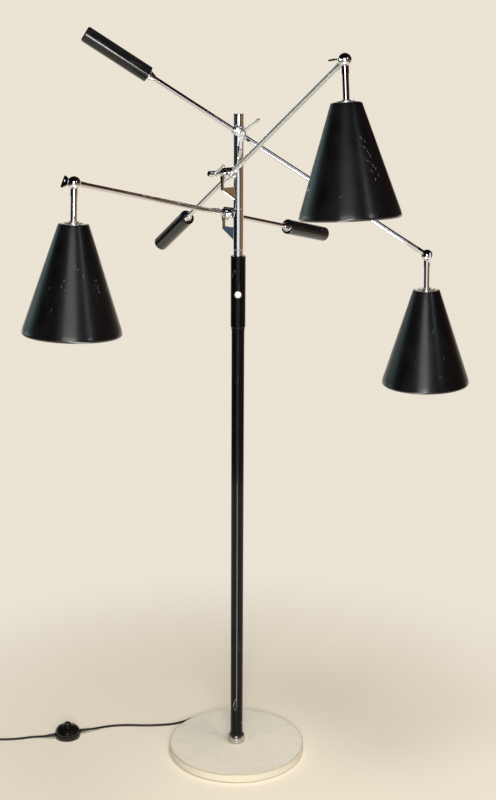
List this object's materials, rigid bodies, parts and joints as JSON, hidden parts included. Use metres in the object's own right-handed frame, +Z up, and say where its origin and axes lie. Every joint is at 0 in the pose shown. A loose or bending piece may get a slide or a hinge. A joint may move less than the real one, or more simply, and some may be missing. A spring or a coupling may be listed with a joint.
{
  "type": "floor lamp",
  "caption": "Floor lamp with balanced arms that swivel and tilt on a chrome mast, black cone shades on knuckles, a round stone base and a corded foot switch.",
  "frame": {"origin": "centre of the felt under the round base, on the floor", "axes": "+Z up along the stem, -Y towards the push button's side, +X to the right as seen from the push button's side"},
  "size_m": [1.1337, 0.7712, 1.5791],
  "materials": {
    "stone": "polished",
    "felt": "matte",
    "steel": "satin",
    "nylon": "satin",
    "chrome": "polished",
    "black_tube": "gloss",
    "black_handle": "gloss",
    "black_shade": "satin",
    "pale_cap": "satin",
    "lampholder": "matte",
    "switch_black": "satin",
    "button_white": "gloss",
    "cord_black": "satin",
    "tie_grey": "matte"
  },
  "bodies": {
    "root": {"base_slab": "stone", "base_felt": "felt", "hold_down_nut": "steel", "base_nipple": "steel", "foot_collar": "chrome", "lower_tube": "black_tube", "switch_sleeve": "black_tube", "push_switch": "switch_black", "neck_collar": "chrome", "inner_mast": "steel", "thrust_washers": "nylon", "top_cap": "chrome", "cord_gland": "cord_black", "cord_to_switch": "cord_black", "foot_switch_body": "switch_black", "cord_to_coil": "cord_black", "cord_coil": "cord_black", "coil_tie": "tie_grey", "plug": "cord_black"},
    "push_button": {"push_button": "button_white"},
    "foot_button": {"foot_switch_button": "switch_black"},
    "swivel_a": {"sleeve_a": "chrome", "bracket_a": "chrome"},
    "arm_a": {"pivot_block_a": "chrome", "rod_a": "chrome", "ferrule_a": "chrome", "handle_a": "black_handle", "knuckle_arm_half_a": "chrome"},
    "head_a": {"knuckle_shade_half_a": "chrome", "shade_a": "black_shade", "shade_cap_a": "pale_cap", "lampholder_a": "lampholder"},
    "clamp_a": {"clamp_lever_a": "chrome"},
    "key_a": {"thumb_key_a": "chrome"},
    "swivel_b": {"sleeve_b": "chrome", "bracket_b": "chrome"},
    "arm_b": {"pivot_block_b": "chrome", "rod_b": "chrome", "ferrule_b": "chrome", "handle_b": "black_handle", "knuckle_arm_half_b": "chrome"},
    "head_b": {"knuckle_shade_half_b": "chrome", "shade_b": "black_shade", "shade_cap_b": "pale_cap", "lampholder_b": "lampholder"},
    "clamp_b": {"clamp_lever_b": "chrome"},
    "key_b": {"thumb_key_b": "chrome"},
    "swivel_c": {"sleeve_c": "chrome", "bracket_c": "chrome"},
    "arm_c": {"pivot_block_c": "chrome", "rod_c": "chrome", "ferrule_c": "chrome", "handle_c": "black_handle", "knuckle_arm_half_c": "chrome"},
    "head_c": {"knuckle_shade_half_c": "chrome", "shade_c": "black_shade", "shade_cap_c": "pale_cap", "lampholder_c": "lampholder"},
    "clamp_c": {"clamp_lever_c": "chrome"},
    "key_c": {"thumb_key_c": "chrome"}
  },
  "joints": [
    {"name": "swivel_a_turn", "type": "hinge", "parent": "root", "child": "swivel_a", "pos_m": [0, 0, 1.379], "axis": [0, 0, 1], "range_deg": [-50, 150]},
    {"name": "arm_a_tilt", "type": "hinge", "parent": "swivel_a", "child": "arm_a", "pos_m": [0.00264, -0.02184, 1.379], "axis": [0.1201, -0.9928, 0], "range_deg": [-24, 70]},
    {"name": "head_a_tilt", "type": "hinge", "parent": "arm_a", "child": "head_a", "pos_m": [0.38998, 0.02503, 1.12414], "axis": [-0.1201, 0.9928, 0], "range_deg": [-90, 58]},
    {"name": "clamp_a_turn", "type": "hinge", "parent": "swivel_a", "child": "clamp_a", "pos_m": [0.00264, -0.02184, 1.379], "axis": [0.1201, -0.9928, 0], "range_deg": [0, 90]},
    {"name": "key_a_turn", "type": "hinge", "parent": "arm_a", "child": "key_a", "pos_m": [0.38998, 0.02503, 1.12414], "axis": [0.1201, -0.9928, 0], "range_deg": [0, 90]},
    {"name": "swivel_b_turn", "type": "hinge", "parent": "root", "child": "swivel_b", "pos_m": [0, 0, 1.2955], "axis": [0, 0, 1], "range_deg": [-50, 50]},
    {"name": "arm_b_tilt", "type": "hinge", "parent": "swivel_b", "child": "arm_b", "pos_m": [-0.01892, -0.01123, 1.2955], "axis": [-0.8599, -0.5105, 0], "range_deg": [-72, 11]},
    {"name": "head_b_tilt", "type": "hinge", "parent": "arm_b", "child": "head_b", "pos_m": [0.18641, -0.35704, 1.53095], "axis": [0.8599, 0.5105, 0], "range_deg": [-110, 1]},
    {"name": "clamp_b_turn", "type": "hinge", "parent": "swivel_b", "child": "clamp_b", "pos_m": [-0.01892, -0.01123, 1.2955], "axis": [-0.8599, -0.5105, 0], "range_deg": [0, 90]},
    {"name": "key_b_turn", "type": "hinge", "parent": "arm_b", "child": "key_b", "pos_m": [0.18641, -0.35704, 1.53095], "axis": [-0.8599, -0.5105, 0], "range_deg": [0, 90]},
    {"name": "swivel_c_turn", "type": "hinge", "parent": "root", "child": "swivel_c", "pos_m": [0, 0, 1.212], "axis": [0, 0, 1], "range_deg": [-72, 50]},
    {"name": "arm_c_tilt", "type": "hinge", "parent": "swivel_c", "child": "arm_c", "pos_m": [-0.01762, 0.01318, 1.212], "axis": [-0.8007, 0.599, 0], "range_deg": [-55, 32]},
    {"name": "head_c_tilt", "type": "hinge", "parent": "arm_c", "child": "head_c", "pos_m": [-0.28989, -0.35078, 1.31482], "axis": [0.8007, -0.599, 0], "range_deg": [-100, 15]},
    {"name": "clamp_c_turn", "type": "hinge", "parent": "swivel_c", "child": "clamp_c", "pos_m": [-0.01762, 0.01318, 1.212], "axis": [-0.8007, 0.599, 0], "range_deg": [0, 90]},
    {"name": "key_c_turn", "type": "hinge", "parent": "arm_c", "child": "key_c", "pos_m": [-0.28989, -0.35078, 1.31482], "axis": [-0.8007, 0.599, 0], "range_deg": [0, 90]},
    {"name": "push_button_press", "type": "slide", "parent": "root", "child": "push_button", "axis": [0, 1, 0], "range_m": [0, 0.002], "stiffness_N_per_m": 400},
    {"name": "foot_button_press", "type": "slide", "parent": "root", "child": "foot_button", "axis": [0, 0, -1], "range_m": [0, 0.003], "stiffness_N_per_m": 600}
  ]
}
